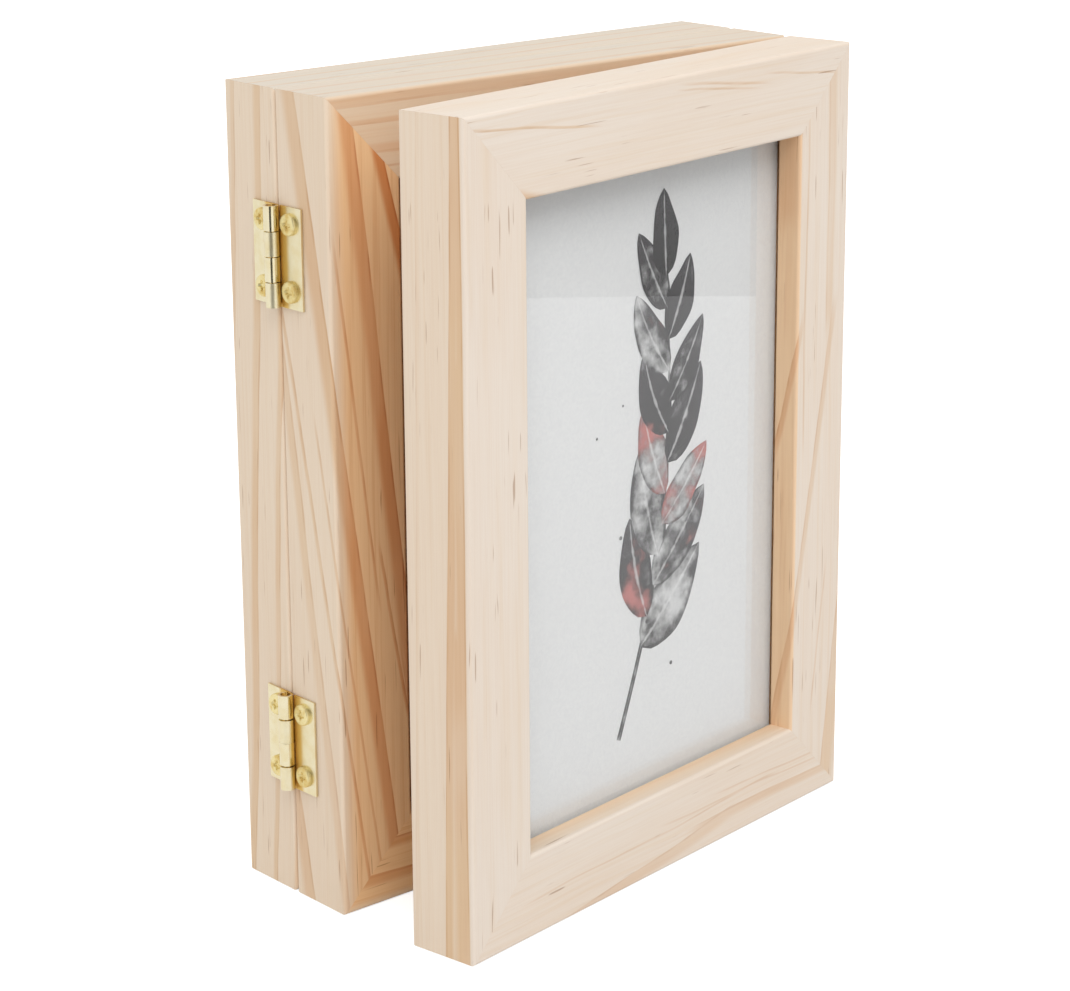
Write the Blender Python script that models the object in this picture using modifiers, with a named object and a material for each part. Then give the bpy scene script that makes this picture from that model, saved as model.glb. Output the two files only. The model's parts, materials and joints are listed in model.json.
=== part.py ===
"""Triple folding picture frame, in metres, with +Z up.

Three equal pine frames are joined by brass butt hinges on their outer sides. The rear frame folds about
the left side of the middle frame, and the front frame about its right side. The front frame stands a little
ajar. The origin is the centre of the middle frame's underside, and the front frame's picture faces -Y.
"""

import math

import bmesh
import bpy
from mathutils import Matrix, Vector

OBJECT_NAME = "triple_picture_frame"

# One wooden frame
FRAME_WIDTH = 0.137
FRAME_HEIGHT = 0.185
FRAME_THICKNESS = 0.018
MOULDING_WIDTH = 0.0196
ARRIS_RADIUS = 0.0008
ARRIS_SEGMENTS = 2

# The groove inside the moulding, and what it holds
LIP_DEPTH = 0.006
GROOVE_DEPTH = 0.003
GLASS_THICKNESS = 0.002
PRINT_THICKNESS = 0.0003
PRINT_SIDE_MARGIN = 0.0014
BOARD_THICKNESS = 0.0015

# How the frames stand
CLOSED_GAP = 0.0003
FRONT_AJAR = math.radians(8.9)

# One butt hinge. Its pin stands a little off the seam, beside the middle frame
HINGE_LENGTH = 0.0224
UPPER_HINGE_INSET = 0.0361
LOWER_HINGE_INSET = 0.0373
PIN_OFF_SEAM = 0.0006
KNUCKLE_COUNT = 4
KNUCKLE_RADIUS = 0.00175
KNUCKLE_GAP = 0.0003
LEAF_REACH = 0.0086
LEAF_THICKNESS = 0.0005
PIN_RADIUS = 0.0011
PIN_CLEARANCE = 0.0001
PIN_RECESS = 0.0005

# One hinge screw
SCREW_OFFSET = 0.00475
SCREW_SPREAD = 0.0148
HEAD_RADIUS = 0.00245
HEAD_HEIGHT = 0.001
HEAD_ROUNDING = 0.0004
SHANK_RADIUS = 0.0011
SHANK_LENGTH = 0.008
TIP_LENGTH = 0.002
RECESS_LENGTH = 0.0025
RECESS_WIDTH = 0.0006
RECESS_DEPTH = 0.0006

# Clearances, and the overrun of every cut
SEAT_GAP = 0.0003
MITRE_GAP = 0.0001
CUT_OVERRUN = 0.001
WELD_DISTANCE = 0.000001

ROUND_SEGMENTS = 20
BORE_SEGMENTS = 16
SCREW_SEGMENTS = 16
SMOOTH_ANGLE = math.radians(40)

# What follows from the sizes above
GROOVE_WIDTH = GLASS_THICKNESS + PRINT_THICKNESS + BOARD_THICKNESS + 4 * SEAT_GAP
POCKET_WIDTH = FRAME_WIDTH - 2 * MOULDING_WIDTH + 2 * GROOVE_DEPTH
POCKET_HEIGHT = FRAME_HEIGHT - 2 * MOULDING_WIDTH + 2 * GROOVE_DEPTH
STACK_PITCH = FRAME_THICKNESS + CLOSED_GAP
AXIS_OFFSET = KNUCKLE_RADIUS + SEAT_GAP
BORE_RADIUS = PIN_RADIUS + PIN_CLEARANCE
HOLE_RADIUS = SHANK_RADIUS + SEAT_GAP
KNUCKLE_PITCH = HINGE_LENGTH / KNUCKLE_COUNT
LEAF_OUTER_FACE = KNUCKLE_RADIUS - LEAF_THICKNESS

HALF_TURN = math.pi
QUARTER_TURN = math.pi / 2

# Every colour is linear red, green and blue, with the roughness and the metallic value
FINISHES = {
    "pine": ((0.76, 0.58, 0.39), 0.55, 0.0),
    "glass": ((0.9, 0.93, 0.92), 0.03, 0.0),
    "print_paper": ((0.8, 0.8, 0.78), 0.7, 0.0),
    "hardboard": ((0.24, 0.13, 0.07), 0.75, 0.0),
    "brass": ((0.83, 0.62, 0.2), 0.18, 1.0),
}


def clear_scene():
    """Removes every object of the scene that the file opened with."""
    for thing in list(bpy.data.objects):
        bpy.data.objects.remove(thing, do_unlink=True)


def make_collection(name):
    """A new collection in the scene."""
    collection = bpy.data.collections.new(name)
    bpy.context.scene.collection.children.link(collection)
    return collection


def make_material(name, colour, roughness, metallic):
    """A Principled material for one kind of piece."""
    material = bpy.data.materials.new(name)
    material.use_nodes = True
    shader = material.node_tree.nodes["Principled BSDF"]
    shader.inputs["Base Color"].default_value = (*colour, 1.0)
    shader.inputs["Roughness"].default_value = roughness
    shader.inputs["Metallic"].default_value = metallic
    if name == "glass":
        shader.inputs["Transmission Weight"].default_value = 1.0
    material.diffuse_color = (*colour, 1.0)
    return material


def mesh_from(name, shape, smooth=False):
    """Turns a bmesh into a mesh, and shades it smooth where that is asked for."""
    bmesh.ops.recalc_face_normals(shape, faces=shape.faces[:])
    mesh = bpy.data.meshes.new(name)
    shape.to_mesh(mesh)
    shape.free()
    if smooth:
        mesh.shade_smooth()
        mesh.set_sharp_from_angle(angle=SMOOTH_ANGLE)
    return mesh


def box_mesh(name, low, high):
    """A box between two corners."""
    shape = bmesh.new()
    size = Vector(high) - Vector(low)
    place = Matrix.Translation((Vector(high) + Vector(low)) / 2) @ Matrix.Diagonal((*size, 1.0))
    bmesh.ops.create_cube(shape, size=1.0, matrix=place)
    return mesh_from(name, shape)


def cylinder_mesh(name, radius, bottom, top, segments, turn=None):
    """An upright cylinder on the Z axis, turned by a matrix where one is given."""
    shape = bmesh.new()
    place = Matrix.Translation((0, 0, (bottom + top) / 2))
    if turn is not None:
        place = turn @ place
    bmesh.ops.create_cone(
        shape,
        cap_ends=True,
        segments=segments,
        radius1=radius,
        radius2=radius,
        depth=top - bottom,
        matrix=place,
    )
    return mesh_from(name, shape, smooth=True)


def add_object(name, mesh, collection, parent=None, place=None):
    """Puts a mesh in the scene as an object, under a parent and at a place in the parent's space."""
    thing = bpy.data.objects.new(name, mesh)
    collection.objects.link(thing)
    thing.parent = parent
    if place is not None:
        thing.matrix_local = place
    return thing


def add_empty(name, collection, parent, place):
    """An empty that carries other pieces."""
    empty = add_object(name, None, collection, parent, place)
    empty.empty_display_size = MOULDING_WIDTH
    return empty


def add_cutter(name, mesh, cutters, parent=None, place=None):
    """A shape that only cuts others."""
    cutter = add_object(name, mesh, cutters, parent, place)
    cutter.display_type = "WIRE"
    cutter.hide_render = True
    return cutter


def cut_with(thing, cutter, operation="DIFFERENCE"):
    """Adds an exact Boolean to a piece."""
    boolean = thing.modifiers.new(cutter.name, "BOOLEAN")
    boolean.operation = operation
    boolean.object = cutter
    boolean.solver = "EXACT"


def worked_mesh(name, base, steps, cutters):
    """The mesh that base becomes after each (operation, mesh) in steps. The helpers are removed again."""
    blank = add_object(name, base, cutters)
    tools = []
    for number, (operation, tool_mesh) in enumerate(steps):
        tool = add_cutter(f"{name}_step_{number}", tool_mesh, cutters)
        cut_with(blank, tool, operation)
        tools.append(tool)
    graph = bpy.context.evaluated_depsgraph_get()
    mesh = bpy.data.meshes.new_from_object(blank.evaluated_get(graph))
    mesh.name = name
    mesh.shade_smooth()
    mesh.set_sharp_from_angle(angle=SMOOTH_ANGLE)
    for helper in [blank, *tools]:
        bpy.data.objects.remove(helper, do_unlink=True)
    return mesh


def rail_mesh(name, length):
    """A mitred length of moulding along X. Its outer edge is at z = 0, and the picture side faces -Y."""
    shape = bmesh.new()
    bmesh.ops.create_cube(shape, size=1.0)
    end_setback = MITRE_GAP / math.sqrt(2)
    weights = shape.edges.layers.float.new("bevel_weight_edge")
    for edge in shape.edges:
        runs_along = edge.verts[0].co.x * edge.verts[1].co.x < 0
        edge[weights] = 1.0 if runs_along else 0.0
    for vertex in shape.verts:
        inner = vertex.co.z > 0
        half_length = length / 2 - end_setback - (MOULDING_WIDTH if inner else 0)
        vertex.co.x = math.copysign(half_length, vertex.co.x)
        vertex.co.y = math.copysign(FRAME_THICKNESS / 2, vertex.co.y)
        vertex.co.z = MOULDING_WIDTH if inner else 0
    return mesh_from(name, shape)


def add_arris(rail):
    """Rounds the four long edges of a rail, which carry the bevel weight."""
    bevel = rail.modifiers.new("arris", "BEVEL")
    bevel.limit_method = "WEIGHT"
    bevel.width = ARRIS_RADIUS
    bevel.segments = ARRIS_SEGMENTS


def depth_from_lip(depth):
    """The y of a depth behind the picture face, in a frame's own space."""
    return depth - FRAME_THICKNESS / 2


def pane(name, width, height, front, thickness):
    """A flat sheet in the middle of the frame, with its front at a depth behind the picture face."""
    middle = FRAME_HEIGHT / 2
    low = (-width / 2, depth_from_lip(front), middle - height / 2)
    high = (width / 2, depth_from_lip(front + thickness), middle + height / 2)
    return box_mesh(name, low, high)


def build_frame(label, turned, seat, parts, cutters, materials):
    """One frame under its seat: four rails, glass, print and backing board. Returns its two stiles by side.

    The frame's own space has its underside at z = 0 and the picture facing -Y. A turned frame faces +Y, so
    its left and right change places.
    """
    pocket_mesh = pane(f"{label}_pocket", POCKET_WIDTH, POCKET_HEIGHT, LIP_DEPTH, GROOVE_WIDTH)
    pocket = add_cutter(f"{label}_pocket_cutter", pocket_mesh, cutters, seat)
    left, right = ("right", "left") if turned else ("left", "right")
    rails = [
        (f"{label}_bottom_rail", FRAME_WIDTH, (0, 0, 0), 0),
        (f"{label}_top_rail", FRAME_WIDTH, (0, 0, FRAME_HEIGHT), HALF_TURN),
        (f"{label}_{left}_stile", FRAME_HEIGHT, (-FRAME_WIDTH / 2, 0, FRAME_HEIGHT / 2), QUARTER_TURN),
        (f"{label}_{right}_stile", FRAME_HEIGHT, (FRAME_WIDTH / 2, 0, FRAME_HEIGHT / 2), -QUARTER_TURN),
    ]
    built = {}
    for name, length, corner, angle in rails:
        place = Matrix.Translation(corner) @ Matrix.Rotation(angle, 4, "Y")
        rail = add_object(name, rail_mesh(name, length), parts, seat, place)
        rail.data.materials.append(materials["pine"])
        add_arris(rail)
        cut_with(rail, pocket)
        built[name] = rail

    glass_front = LIP_DEPTH + SEAT_GAP
    print_front = glass_front + GLASS_THICKNESS + SEAT_GAP
    board_front = print_front + PRINT_THICKNESS + SEAT_GAP
    width = POCKET_WIDTH - 2 * SEAT_GAP
    height = POCKET_HEIGHT - 2 * SEAT_GAP
    sheets = [
        ("glass", width, glass_front, GLASS_THICKNESS, "glass"),
        ("print", width - 2 * PRINT_SIDE_MARGIN, print_front, PRINT_THICKNESS, "print_paper"),
        ("backing_board", width, board_front, BOARD_THICKNESS, "hardboard"),
    ]
    for kind, sheet_width, front, thickness, finish in sheets:
        name = f"{label}_{kind}"
        sheet = add_object(name, pane(name, sheet_width, height, front, thickness), parts, seat)
        sheet.data.materials.append(materials[finish])
    return {side: built[f"{label}_{side}_stile"] for side in ("left", "right")}


def knuckle_span(number):
    """The lowest and highest z of one knuckle, counted from the top, in hinge space."""
    top = HINGE_LENGTH / 2 - number * KNUCKLE_PITCH
    trims = KNUCKLE_GAP / 2
    high = top if number == 0 else top - trims
    low = top - KNUCKLE_PITCH + (0 if number == KNUCKLE_COUNT - 1 else trims)
    return low, high


def leaf_mesh(name, first_knuckle, direction, cutters):
    """One hinge leaf in hinge space: the pin on the Z axis, and the wood on the +X side.

    direction is the sign of y towards which the leaf reaches. Its knuckles are every other one from
    first_knuckle, and it is cut away beside the other leaf's.
    """
    half = HINGE_LENGTH / 2
    plate_edges = sorted((0, direction * LEAF_REACH))
    plate = box_mesh(name, (LEAF_OUTER_FACE, plate_edges[0], -half), (KNUCKLE_RADIUS, plate_edges[1], half))
    steps = []
    notch_reach = direction * (KNUCKLE_RADIUS + SEAT_GAP)
    for number in range(KNUCKLE_COUNT):
        low, high = knuckle_span(number)
        if number % 2 == first_knuckle:
            steps.append(("UNION", cylinder_mesh(name, KNUCKLE_RADIUS, low, high, ROUND_SEGMENTS)))
            continue
        notch_low = -half - CUT_OVERRUN if number == KNUCKLE_COUNT - 1 else low - KNUCKLE_GAP
        notch_high = half + CUT_OVERRUN if number == 0 else high + KNUCKLE_GAP
        notch_edges = sorted((-direction * CUT_OVERRUN, notch_reach))
        low_corner = (LEAF_OUTER_FACE - CUT_OVERRUN, notch_edges[0], notch_low)
        high_corner = (KNUCKLE_RADIUS + CUT_OVERRUN, notch_edges[1], notch_high)
        steps.insert(0, ("DIFFERENCE", box_mesh(name, low_corner, high_corner)))
    bore = cylinder_mesh(name, BORE_RADIUS, -half - CUT_OVERRUN, half + CUT_OVERRUN, BORE_SEGMENTS)
    steps.append(("DIFFERENCE", bore))
    for height in (-SCREW_SPREAD / 2, SCREW_SPREAD / 2):
        spot = Matrix.Translation((0, direction * SCREW_OFFSET, height))
        through = spot @ Matrix.Rotation(QUARTER_TURN, 4, "Y")
        near = LEAF_OUTER_FACE - CUT_OVERRUN
        far = KNUCKLE_RADIUS + CUT_OVERRUN
        steps.append(("DIFFERENCE", cylinder_mesh(name, HOLE_RADIUS, near, far, BORE_SEGMENTS, through)))
    return worked_mesh(name, plate, steps, cutters)


def screw_mesh(name, cutters):
    """A pan-head screw on the Z axis. The head is above z = 0 and the shank below it."""
    profile = [
        (0, HEAD_HEIGHT),
        (HEAD_RADIUS - HEAD_ROUNDING, HEAD_HEIGHT),
        (HEAD_RADIUS, HEAD_HEIGHT - HEAD_ROUNDING),
        (HEAD_RADIUS, 0),
        (SHANK_RADIUS, 0),
        (SHANK_RADIUS, TIP_LENGTH - SHANK_LENGTH),
        (0, -SHANK_LENGTH),
    ]
    outline = bpy.data.meshes.new(name)
    points = [(radius, 0, height) for radius, height in profile]
    outline.from_pydata(points, [(n, n + 1) for n in range(len(points) - 1)], [])
    turned = add_object(f"{name}_blank", outline, cutters)
    lathe = turned.modifiers.new("lathe", "SCREW")
    lathe.steps = SCREW_SEGMENTS
    lathe.render_steps = SCREW_SEGMENTS
    lathe.use_merge_vertices = True
    lathe.merge_threshold = WELD_DISTANCE
    graph = bpy.context.evaluated_depsgraph_get()
    blank = bpy.data.meshes.new_from_object(turned.evaluated_get(graph))
    bpy.data.objects.remove(turned, do_unlink=True)
    steps = []
    for half_x, half_y in ((RECESS_LENGTH / 2, RECESS_WIDTH / 2), (RECESS_WIDTH / 2, RECESS_LENGTH / 2)):
        low = (-half_x, -half_y, HEAD_HEIGHT - RECESS_DEPTH)
        high = (half_x, half_y, HEAD_HEIGHT + CUT_OVERRUN)
        steps.append(("DIFFERENCE", box_mesh(name, low, high)))
    return worked_mesh(name, blank, steps, cutters)


def build_leaf(label, direction, seat, stile, leaf, shapes, parts, cutters):
    """One leaf at its seat, with two screws in pilot holes in its stile."""
    add_object(f"{label}_leaf", leaf, parts, seat)
    for position, height in (("top", SCREW_SPREAD / 2), ("bottom", -SCREW_SPREAD / 2)):
        name = f"{label}_screw_{position}"
        spot = Matrix.Translation((LEAF_OUTER_FACE - SEAT_GAP, direction * SCREW_OFFSET, height))
        place = spot @ Matrix.Rotation(-QUARTER_TURN, 4, "Y")
        add_object(name, shapes["screw"], parts, seat, place)
        pilot = add_cutter(f"{name}_pilot_cutter", shapes["pilot"], cutters, seat, place)
        cut_with(stile, pilot)


def build_shapes(cutters, materials):
    """The meshes that the four hinges share."""
    half = HINGE_LENGTH / 2 - PIN_RECESS
    shapes = {
        "outer_leaf": leaf_mesh("outer_leaf", 0, 1, cutters),
        "middle_leaf": leaf_mesh("middle_leaf", 1, -1, cutters),
        "screw": screw_mesh("hinge_screw", cutters),
        "pin": cylinder_mesh("hinge_pin", PIN_RADIUS, -half, half, BORE_SEGMENTS),
    }
    for mesh in shapes.values():
        mesh.materials.clear()
        mesh.materials.append(materials["brass"])
    shapes["pilot"] = cylinder_mesh("pilot", HOLE_RADIUS, -SHANK_LENGTH - SEAT_GAP, 0, BORE_SEGMENTS)
    return shapes


def build():
    """The whole object."""
    clear_scene()
    parts = make_collection(OBJECT_NAME)
    cutters = make_collection("cutters")
    materials = {name: make_material(name, *values) for name, values in FINISHES.items()}
    shapes = build_shapes(cutters, materials)

    side = FRAME_WIDTH / 2 + AXIS_OFFSET
    inward = STACK_PITCH / 2 - PIN_OFF_SEAM
    outward = STACK_PITCH / 2 + PIN_OFF_SEAM
    root = add_empty("middle_frame_origin", parts, None, Matrix())
    left_fold = add_empty("left_fold_axis", parts, root, Matrix.Translation((-side, inward, 0)))
    right_place = Matrix.Translation((side, -inward, 0)) @ Matrix.Rotation(FRONT_AJAR, 4, "Z")
    right_fold = add_empty("right_fold_axis", parts, root, right_place)

    middle_seat = add_empty("middle_frame_seat", parts, root, Matrix.Rotation(HALF_TURN, 4, "Z"))
    rear_seat = add_empty("rear_frame_seat", parts, left_fold, Matrix.Translation((side, outward, 0)))
    front_seat = add_empty("front_frame_seat", parts, right_fold, Matrix.Translation((-side, -outward, 0)))
    middle = build_frame("middle", True, middle_seat, parts, cutters, materials)
    rear = build_frame("rear", False, rear_seat, parts, cutters, materials)
    front = build_frame("front", False, front_seat, parts, cutters, materials)

    # The right hinges are the left ones turned by half a turn, so that the wood stays on their +X side
    folds = [
        ("left", "rear", left_fold, rear["left"], -side, inward, 0),
        ("right", "front", right_fold, front["right"], side, -inward, HALF_TURN),
    ]
    levels = [("upper", FRAME_HEIGHT - UPPER_HINGE_INSET), ("lower", LOWER_HINGE_INSET)]
    for side_label, outer_label, axis, outer_stile, axis_x, axis_y, angle in folds:
        turn = Matrix.Rotation(angle, 4, "Z")
        for level, height in levels:
            label = f"{side_label}_{level}_hinge"
            outer_place = Matrix.Translation((0, 0, height)) @ turn
            inner_place = Matrix.Translation((axis_x, axis_y, height)) @ turn
            outer_seat = add_empty(f"{label}_{outer_label}_seat", parts, axis, outer_place)
            inner_seat = add_empty(f"{label}_middle_seat", parts, root, inner_place)
            leaves = [
                (outer_label, 1, outer_seat, outer_stile, shapes["outer_leaf"]),
                ("middle", -1, inner_seat, middle[side_label], shapes["middle_leaf"]),
            ]
            for frame_label, direction, seat, stile, leaf in leaves:
                build_leaf(f"{label}_{frame_label}", direction, seat, stile, leaf, shapes, parts, cutters)
            add_object(f"{label}_pin", shapes["pin"], parts, inner_seat)


build()
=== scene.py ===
"""Looks of the triple folding picture frame.

Each frame's own space has its underside at z = 0 and its picture facing -Y. Hinge space has the pin on the Z
axis and the wood on the +X side. All lengths are in metres.
"""

import json
import math
import random

import bmesh
import bpy
from mathutils import Matrix, Vector, noise


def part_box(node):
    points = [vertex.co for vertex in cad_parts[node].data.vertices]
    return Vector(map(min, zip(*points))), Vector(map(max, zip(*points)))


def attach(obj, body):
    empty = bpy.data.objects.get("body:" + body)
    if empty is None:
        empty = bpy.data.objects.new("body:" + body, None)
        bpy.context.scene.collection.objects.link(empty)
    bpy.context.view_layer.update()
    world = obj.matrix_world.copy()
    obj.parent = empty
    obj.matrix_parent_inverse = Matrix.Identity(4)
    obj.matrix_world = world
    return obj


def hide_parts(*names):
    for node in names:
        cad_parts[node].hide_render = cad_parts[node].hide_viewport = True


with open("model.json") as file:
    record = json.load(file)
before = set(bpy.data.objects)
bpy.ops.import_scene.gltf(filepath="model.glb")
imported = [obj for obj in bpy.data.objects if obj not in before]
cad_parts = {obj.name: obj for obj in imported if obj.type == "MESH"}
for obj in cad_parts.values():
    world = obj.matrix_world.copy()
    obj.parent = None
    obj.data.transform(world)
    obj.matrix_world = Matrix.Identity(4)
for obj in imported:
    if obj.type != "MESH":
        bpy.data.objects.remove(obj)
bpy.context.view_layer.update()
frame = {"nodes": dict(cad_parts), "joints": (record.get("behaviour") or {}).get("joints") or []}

MM = 0.001
QUARTER_TURN = math.pi / 2
HALF_TURN = math.pi
SMOOTH_ANGLE = math.radians(32)

# The photograph's frame, and the camera that was solved from the frames' corners in it
PHOTO_WIDTH = 1070
PHOTO_HEIGHT = 991
FOCAL_PIXELS = 2989.3
PRINCIPAL_ROW = 430
CAMERA_AZIMUTH = math.radians(-41.014)
CAMERA_ELEVATION = math.radians(15.371)
CAMERA_ROLL = math.radians(-0.372)
CAMERA_TARGET = Vector((-11.124, -9.0, 102.597)) * MM
CAMERA_DISTANCE = 681.0 * MM
SENSOR_WIDTH = 36
CLIP_START = 10 * MM

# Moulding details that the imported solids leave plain
ARRIS_RADIUS = 0.8 * MM
ARRIS_STEPS = 6
MITRE_GAP = 0.01 * MM

# Hinge details
LEAF_THICKNESS = 0.5 * MM
LEAF_EDGE = 0.12 * MM
LEAF_EDGE_STEPS = 2
LEAF_EDGE_ANGLE = math.radians(50)
CUT_OVERRUN = 1.0 * MM
ROLL_STEPS = 40
ROLL_SLIT = math.radians(5)
ROLL_FLATS = {"outer_leaf": 1, "middle_leaf": -1}
ROLL_FLATNESS_SHARE = 0.04
PLATE_LEAN = 0.2 * MM
BORE_MARGIN = 0.06 * MM
CREASE_START = 3.1 * MM
CREASE_REACH = 4.6 * MM
CREASE_FLOOR = 0.2 * MM
CREASE_SHARE = 0.9
CREASE_ROUGHNESS = 0.5
PIN_CHAMFER = 0.15 * MM
HEAD_STEPS = 48
HEAD_HEIGHT = 1.0 * MM
HEAD_SINK = 0.02 * MM
SHANK_RADIUS = 1.1 * MM
SHANK_TIP = 2.0 * MM
SCREW_LEAN = math.radians(3)
LEAF_SLIPS = {"upper": 0.0, "lower": 0.08 * MM}

LABELS = ("front", "middle", "rear")
SIDES = ("top", "bottom", "left", "right")
JOINTS = {joint["name"]: joint for joint in frame["joints"]}


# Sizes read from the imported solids
def union_box(names):
    """The box round several nodes."""
    boxes = [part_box(name) for name in names]
    low = Vector([min(box[0][axis] for box in boxes) for axis in range(3)])
    high = Vector([max(box[1][axis] for box in boxes) for axis in range(3)])
    return low, high


def rail_name(label, side):
    """The node of one rail or stile."""
    return f"{label}_{side}_{'rail' if side in ('top', 'bottom') else 'stile'}"


middle_low, middle_high = union_box([rail_name("middle", side) for side in SIDES])
rear_low = union_box([rail_name("rear", side) for side in SIDES])[0]
FRAME_WIDTH, FRAME_THICKNESS, FRAME_HEIGHT = middle_high - middle_low
MOULDING_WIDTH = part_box("middle_bottom_rail")[1].z - middle_low.z
GLASS_LOW, GLASS_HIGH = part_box("rear_glass")
BOARD_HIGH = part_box("rear_backing_board")[1]
PRINT_LOW, PRINT_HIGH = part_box("rear_print")
SEAT_GAP = PRINT_LOW.y - GLASS_HIGH.y
GROOVE_FRONT = GLASS_LOW.y - SEAT_GAP - rear_low.y
GROOVE_BACK = BOARD_HIGH.y + SEAT_GAP - rear_low.y
GROOVE_DEPTH = (GLASS_HIGH.x - GLASS_LOW.x) / 2 + SEAT_GAP - (FRAME_WIDTH / 2 - MOULDING_WIDTH)
LEFT_AXIS = Vector(JOINTS["left_fold"]["pos_m"])
RIGHT_AXIS = Vector(JOINTS["right_fold"]["pos_m"])
AJAR = math.radians(-JOINTS["right_fold"]["range_deg"][0])
STACK_PITCH = rear_low.y - middle_low.y
LEAF_LOW, LEAF_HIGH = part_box("left_upper_hinge_rear_leaf")
KNUCKLE_RADIUS = LEFT_AXIS.x - LEAF_LOW.x
OUTER_FACE = KNUCKLE_RADIUS - LEAF_THICKNESS
LEAF_REACH = LEAF_HIGH.y - LEFT_AXIS.y
HINGE_LENGTH = LEAF_HIGH.z - LEAF_LOW.z
HEAD_LOW, HEAD_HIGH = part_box("left_upper_hinge_rear_screw_top")
HEAD_RADIUS = (HEAD_HIGH.z - HEAD_LOW.z) / 2
SCREW_OFFSET = (HEAD_LOW.y + HEAD_HIGH.y) / 2 - LEFT_AXIS.y
SCREW_SPREAD = 2 * ((HEAD_LOW.z + HEAD_HIGH.z) / 2 - (LEAF_LOW.z + LEAF_HIGH.z) / 2)
SCREW_LENGTH = HEAD_HIGH.x - HEAD_LOW.x
PIN_LOW, PIN_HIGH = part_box("left_upper_hinge_pin")
PIN_RADIUS = (PIN_HIGH.x - PIN_LOW.x) / 2
KNUCKLE_COUNT = 4
KNUCKLE_GAP = 0.2 * MM

FRAME_SPACE = {
    "middle": Matrix.Rotation(HALF_TURN, 4, "Z"),
    "rear": Matrix.Translation((0, STACK_PITCH, 0)),
    "front": Matrix.Translation(RIGHT_AXIS)
    @ Matrix.Rotation(AJAR, 4, "Z")
    @ Matrix.Translation(-RIGHT_AXIS)
    @ Matrix.Translation((0, -STACK_PITCH, 0)),
}


class Nodes:
    """Adds nodes to a tree."""

    def __init__(self, tree):
        """Keeps the tree."""
        self.tree = tree

    def feed(self, node, name, value):
        """Links a node's input to a socket, or sets it to a value."""
        if isinstance(value, bpy.types.NodeSocket):
            self.tree.links.new(value, node.inputs[name])
        else:
            node.inputs[name].default_value = value

    def add(self, kind, inputs, output=0, **settings):
        """A node with its settings and inputs. Returns one of its outputs."""
        node = self.tree.nodes.new(kind)
        for key, value in settings.items():
            setattr(node, key, value)
        for key, value in inputs.items():
            self.feed(node, key, value)
        return node.outputs[output]

    def math(self, operation, *values):
        """A Math node."""
        return self.add("ShaderNodeMath", dict(enumerate(values)), operation=operation)

    def vector(self, operation, *values):
        """A Vector Math node."""
        return self.add("ShaderNodeVectorMath", dict(enumerate(values)), operation=operation)

    def attribute(self, name, output="Vector"):
        """A mesh attribute."""
        return self.add("ShaderNodeAttribute", {}, output, attribute_name=name)

    def noise(self, vector, scale, detail=2.0, roughness=0.5):
        """A noise between 0 and 1, about 0.5 on average."""
        inputs = {"Vector": vector, "Scale": scale, "Detail": detail, "Roughness": roughness}
        return self.add("ShaderNodeTexNoise", inputs)

    def sway(self, value, texture, amount):
        """A value plus a noise's swing about its average, times an amount."""
        return self.math("MULTIPLY_ADD", self.math("SUBTRACT", texture, 0.5), amount, value)

    def ramp(self, value, low, high, to_low=0.0, to_high=1.0):
        """A smooth step from low to high."""
        inputs = {"Value": value, "From Min": low, "From Max": high, "To Min": to_low, "To Max": to_high}
        return self.add("ShaderNodeMapRange", inputs, interpolation_type="SMOOTHSTEP")

    def mix(self, factor, first, second, blend="MIX"):
        """A mix of two colours."""
        inputs = {0: factor, 6: first, 7: second}
        return self.add("ShaderNodeMix", inputs, 2, data_type="RGBA", blend_type=blend)

    def bump(self, height, distance, strength=1.0):
        """A bump from a height between 0 and 1."""
        return self.add("ShaderNodeBump", {"Height": height, "Distance": distance, "Strength": strength})


def new_material(name):
    """A material with a Principled shader. Returns the material, its node helper and the shader."""
    material = bpy.data.materials.new(name)
    material.use_nodes = True
    return material, Nodes(material.node_tree), material.node_tree.nodes["Principled BSDF"]


def colour(red, green, blue):
    """A colour given as it looks on a screen, from 0 to 255, made linear."""
    linear = []
    for value in (red, green, blue):
        share = value / 255
        linear.append(share / 12.92 if share < 0.04045 else ((share + 0.055) / 1.055) ** 2.4)
    return (*linear, 1.0)


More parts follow.
